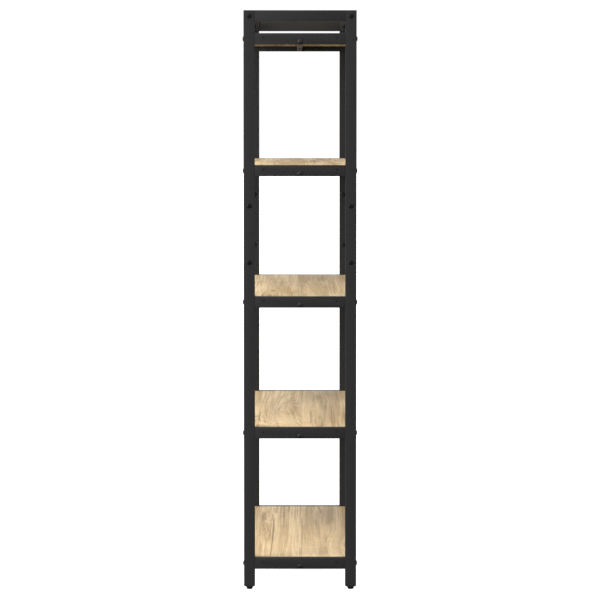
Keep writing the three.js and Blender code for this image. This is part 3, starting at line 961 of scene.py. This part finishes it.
class BOOKCASE_OT_feet(bpy.types.Operator):
    """Build the four ribbed levelling feet on their threaded stems"""
    bl_idname = "bookcase.feet"
    bl_label = "Levelling feet"
    bl_options = {"REGISTER", "UNDO"}

    def execute(self, context):
        s = context.scene.bookcase
        for corner, _ in CORNERS:
            node = f"foot_{corner}"
            middle, size, low, high = span_of(node)
            post_low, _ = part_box(f"post_lower_{corner}")
            radius = size.x / 2
            top = post_low.z - s.tube.gap
            bm = bmesh.new()
            loft(bm, self.pad_rings(s, radius, low.z, top))
            loft(bm, self.stem_rings(s, radius * s.foot.stem_share, top - s.tube.wall, high.z))
            placed(bm, Matrix.Translation((middle.x, middle.y, 0)), 0)
            piece = finished(f"{node}_pad", bm, "foot_plastic", FOOT_SHARP_ANGLE)
            settle(piece, node, "foot_plastic", node)
        return {"FINISHED"}

    def pad_rings(self, s, radius, low, high):
        """Rings of the bowl-shaped pad, with shallow grip ribs round its rim."""
        rings = []
        for share, rise, ribbed in PAD_PROFILE:
            points = []
            for index, (px, py) in enumerate(circle(1.0, RIB_POINTS * s.foot.ribs)):
                between = index % RIB_POINTS == RIB_POINTS // 2
                notch = s.foot.rib_depth if ribbed and between else 0.0
                points.append((px * (radius * share - notch), py * (radius * share - notch)))
            rings.append((points, low + rise * (high - low)))
        return rings

    def stem_rings(self, s, radius, low, high):
        """Rings of the threaded stem, one crest and one root for each turn."""
        rings = [(circle(radius * THREAD_ROOT, THREAD_STEPS), low)]
        pitch = s.foot.thread_pitch
        for turn in range(int((high - low) / pitch) - 1):
            for share, rise in THREAD_TURN:
                rings.append((circle(radius * share, THREAD_STEPS), low + (turn + rise) * pitch))
        rings.append((circle(radius * STEM_TIP, THREAD_STEPS), high))
        return rings


class BOOKCASE_OT_bolts(bpy.types.Operator):
    """Place every domed bolt head and screw on the frame"""
    bl_idname = "bookcase.bolts"
    bl_label = "Bolts and screws"
    bl_options = {"REGISTER", "UNDO"}

    def execute(self, context):
        s = context.scene.bookcase
        size = (s.bolt.head_diameter, s.bolt.head_height, s.bolt.socket_size, s.bolt.socket_depth)
        rail, nodes = self.rail_places(s)
        settle(bolt_heads("rail_bolts", rail, *size), "frame", "black_bolt", *nodes)
        settle(bolt_heads("bar_bolts", self.bar_places(s), *size), "frame", "black_bolt")
        deep = (*size[:2], s.bolt.post_socket_size, s.bolt.post_socket_depth)
        for name, places in (("splice_bolts", self.splice_places(s)),
                             ("tie_bolts", self.tie_places(s))):
            settle(bolt_heads(name, places, *deep, "dark_bolt"), "frame", "black_bolt")
        tab = (s.bolt.tab_head_diameter, s.bolt.tab_head_height)
        under = (s.bolt.bar_head_diameter, s.bolt.bar_head_height)
        for name, places, (diameter, height) in (("tab_screws", self.tab_places(s), tab),
                                                 ("bar_screws", self.under_places(), under)):
            heads = bolt_heads(name, places, diameter, height, diameter * SMALL_SOCKET_WIDTH,
                               height * SMALL_SOCKET_DEPTH)
            settle(heads, "frame", "black_bolt")
        return {"FINISHED"}

    def rail_places(self, s):
        """Heads on the front and rear faces of the posts, one at each side rail."""
        places, nodes = [], []
        for corner, face in CORNERS:
            for level in LEVELS:
                node = f"bolt_{level}_{corner}"
                middle, _, low, high = span_of(node)
                tip = high.y if face > 0 else low.y
                at = Vector((middle.x, tip - face * s.bolt.head_height, middle.z))
                places.append((at, (0, face, 0)))
                nodes.append(node)
        return places, nodes

    def splice_places(self, s):
        """Heads on both X faces of each post, above and below the splice."""
        places = []
        for corner, _ in CORNERS:
            middle, _, low, high = span_of(f"sleeve_{corner}")
            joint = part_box(f"post_lower_{corner}")[1].z
            rise = (high.z - low.z) * SPLICE_SHARE
            for hand in (-1, 1):
                for direction in (-1, 1):
                    tip = high.x if direction > 0 else low.x
                    at = Vector((tip - direction * s.bolt.head_height, middle.y, joint + hand * rise))
                    places.append((at, (direction, 0, 0)))
        return places

    def tie_places(self, s):
        """Heads outside each post's top and nuts inside on the tie's end plate."""
        places = []
        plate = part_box("top_rail_right")[0].x - s.tube.gap - s.tube.cap
        for face_name, _ in FACES:
            middle, _, _, high = span_of(f"top_tie_{face_name}")
            for side in (-1, 1):
                outer = (high.x - s.bolt.head_height) * side
                places.append((Vector((outer, middle.y, middle.z)), (side, 0, 0)))
                places.append((Vector((side * plate, middle.y, middle.z)), (-side, 0, 0)))
        return places

    def bar_places(self, s):
        """Heads in the middle of each side rail, at the height of its bar."""
        places = []
        for level in LEVELS:
            middle, _, _, high = span_of(f"support_bar_{level}")
            for side in (-1, 1):
                at = Vector((side * (high.x - s.bolt.head_height), middle.y, middle.z))
                places.append((at, (side, 0, 0)))
        return places

    def tab_places(self, s):
        """Small screw heads at the bottom of the access holes."""
        places = []
        for side_name, side in SIDES:
            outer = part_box(f"top_rail_{side_name}")[1 if side > 0 else 0].x
            for level in LEVELS:
                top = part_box(f"side_rail_{level}_{side_name}")[1].z
                sunk = outer - side * s.bolt.tab_head_height * TAB_HEAD_SINK
                for hand in (-1, 1):
                    at = Vector((sunk, hand * s.tube.access_offset, top - s.tube.access_drop))
                    places.append((at, (side, 0, 0)))
        return places

    def under_places(self):
        """One screw head under the middle of each bar."""
        return [(Vector((0, 0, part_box(f"support_bar_{level}")[0].z)), (0, 0, -1))
                for level in LEVELS]


class BOOKCASE_OT_stage(bpy.types.Operator):
    """Build the pale floor, the soft lights and the camera"""
    bl_idname = "bookcase.stage"
    bl_label = "Stage"
    bl_options = {"REGISTER", "UNDO"}

    def execute(self, context):
        s = context.scene.bookcase
        self.floor(s)
        self.world(s)
        for name, place, target, size, power in SOFTBOXES:
            self.softbox(name, place, target, size, getattr(s.stage, power))
        self.camera(s)
        context.scene.view_settings.view_transform = "Standard"
        return {"FINISHED"}

    def floor(self, s):
        """A plain pale floor that looks bright but throws little light back up."""
        bm = bmesh.new()
        bmesh.ops.create_grid(bm, x_segments=FLOOR_SQUARES, y_segments=FLOOR_SQUARES,
                              size=FLOOR_REACH)
        floor = shown("floor", mesh_of("floor", bm))
        material = bpy.data.materials.new("Pale floor")
        material.use_nodes = True
        b = Wiring(material.node_tree)
        shader = b.tree.nodes["Principled BSDF"]
        b.fill(shader, {"Base Color": rgba(s.stage.floor), "Roughness": FLOOR_ROUGHNESS,
                        "Specular IOR Level": 0.0, "Emission Color": WHITE,
                        "Emission Strength": s.stage.floor_glow})
        bounce = b.out("ShaderNodeBsdfDiffuse", {"Color": rgba((s.stage.floor_bounce,) * 3)})
        b.camera_mix(bounce, shader.outputs[0], "Material Output")
        floor.data.materials.append(material)

    def world(self, s):
        """Even light from all round, and a plain white backdrop for the camera."""
        world = bpy.data.worlds.new("Studio")
        world.use_nodes = True
        b = Wiring(world.node_tree)
        ambient = b.tree.nodes["Background"]
        b.fill(ambient, {"Color": WHITE, "Strength": s.stage.world})
        backdrop = b.out("ShaderNodeBackground", {"Color": WHITE, "Strength": BACKDROP_STRENGTH})
        b.camera_mix(ambient.outputs[0], backdrop, "World Output")
        bpy.context.scene.world = world

    def softbox(self, name, place, target, size, power):
        """A square soft light at a place, aimed at a target."""
        light = bpy.data.lights.new(name, "AREA")
        light.shape = "SQUARE"
        light.size = size
        light.energy = power
        lamp = shown(name, light)
        lamp.location = place
        lamp.rotation_euler = (Vector(target) - Vector(place)).to_track_quat("-Z", "Y").to_euler()

    def camera(self, s):
        """The camera at the end of the bookcase, a little above its middle."""
        data = bpy.data.cameras.new("camera")
        data.sensor_width = s.stage.sensor
        data.lens = s.stage.lens
        data.clip_end = CAMERA_REACH
        camera = shown("camera", data)
        camera.location = s.stage.camera_place
        camera.rotation_euler = Vector(s.stage.camera_aim).to_track_quat("-Z", "Y").to_euler()
        bpy.context.scene.camera = camera


class BOOKCASE_PT_sidebar(bpy.types.Panel):
    """Lists the bookcase operators and sizes"""
    bl_label = "Open bookcase"
    bl_idname = "BOOKCASE_PT_sidebar"
    bl_space_type = "VIEW_3D"
    bl_region_type = "UI"
    bl_category = "Bookcase"

    def draw(self, context):
        for operator in OPERATORS:
            self.layout.operator(operator.bl_idname)
        settings = context.scene.bookcase
        for name in ("tube", "bolt", "board", "bar", "foot", "stage"):
            section = self.layout.box()
            section.label(text=name.capitalize())
            group = getattr(settings, name)
            for key in type(group).__annotations__:
                section.prop(group, key)


GROUPS = (TubeSizes, BoltSizes, BoardSizes, BarSizes, FootSizes, StageSizes, BookcaseSettings)
OPERATORS = (BOOKCASE_OT_stage, BOOKCASE_OT_posts, BOOKCASE_OT_side_rails, BOOKCASE_OT_top_ties,
             BOOKCASE_OT_support_bars, BOOKCASE_OT_boards, BOOKCASE_OT_feet, BOOKCASE_OT_bolts)
CLASSES = (*GROUPS, *OPERATORS, BOOKCASE_PT_sidebar)


def register():
    for item in CLASSES:
        bpy.utils.register_class(item)
    bpy.types.Scene.bookcase = PointerProperty(type=BookcaseSettings)


def unregister():
    del bpy.types.Scene.bookcase
    for item in reversed(CLASSES):
        bpy.utils.unregister_class(item)


def main():
    register()
    for operator in OPERATORS:
        getattr(bpy.ops.bookcase, operator.bl_idname.split(".")[1])()


if __name__ == "__main__":
    main()
